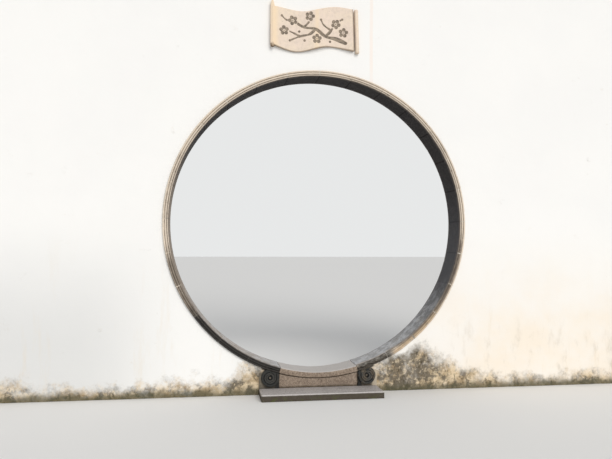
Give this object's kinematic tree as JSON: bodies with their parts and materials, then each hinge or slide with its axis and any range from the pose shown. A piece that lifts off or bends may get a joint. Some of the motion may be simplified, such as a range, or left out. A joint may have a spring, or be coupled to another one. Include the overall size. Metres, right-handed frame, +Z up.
{
  "type": "moon gate",
  "caption": "Round garden doorway in a white plastered wall, with a moulded brick ring, volute feet, a granite sill and steps, a carved scroll tablet and a tiled coping.",
  "frame": {"origin": "on the ground under the ring's centre, in the middle of the wall's thickness", "axes": "+X along the wall to the right seen from the front, +Y back through the gate, +Z up"},
  "size_m": [6, 0.7406, 4.1762],
  "materials": {
    "ring_brick": "grey-brown moulded brick, worn, with pale putty joints",
    "carved_brick": "near-black carved grey brick, weathered",
    "sill_granite": "speckled beige granite with a light trodden edge",
    "step_granite": "grey-pink granite, mossy on its face",
    "lime_plaster": "matt white lime plaster, damp stained near the ground",
    "eaves_plaster": "matt plaster over corbelled brick",
    "roof_tile": "unglazed dark grey fired clay",
    "ridge_plaster": "weathered pale plaster",
    "tablet_stone": "cream-pink carved stone, matt"
  },
  "bodies": {
    "root": {"ring_brick_01": "ring_brick", "ring_brick_02": "ring_brick", "ring_brick_03": "ring_brick", "ring_brick_04": "ring_brick", "ring_brick_05": "ring_brick", "ring_brick_06": "ring_brick", "ring_brick_07": "ring_brick", "ring_brick_08": "ring_brick", "ring_brick_09": "ring_brick", "ring_brick_10": "ring_brick", "ring_brick_11": "ring_brick", "ring_brick_12": "ring_brick", "ring_brick_13": "ring_brick", "ring_brick_14": "ring_brick", "ring_brick_15": "ring_brick", "ring_brick_16": "ring_brick", "ring_brick_17": "ring_brick", "ring_brick_18": "ring_brick", "ring_brick_19": "ring_brick", "ring_brick_20": "ring_brick", "ring_brick_21": "ring_brick", "ring_brick_22": "ring_brick", "ring_brick_23": "ring_brick", "ring_brick_24": "ring_brick", "ring_brick_25": "ring_brick", "ring_brick_26": "ring_brick", "foot_front_left": "carved_brick", "foot_front_right": "carved_brick", "foot_back_left": "carved_brick", "foot_back_right": "carved_brick", "sill_stone": "sill_granite", "step_front": "step_granite", "step_back": "step_granite", "wall_left": "lime_plaster", "wall_right": "lime_plaster", "wall_over_gate": "lime_plaster", "frieze": "lime_plaster", "coping_core": "eaves_plaster", "tile_slope_front": "roof_tile", "tile_slope_back": "roof_tile", "ridge_cap": "roof_tile", "ridge_base": "ridge_plaster", "tablet_sheet": "tablet_stone", "tablet_roller": "tablet_stone"}
  },
  "joints": []
}
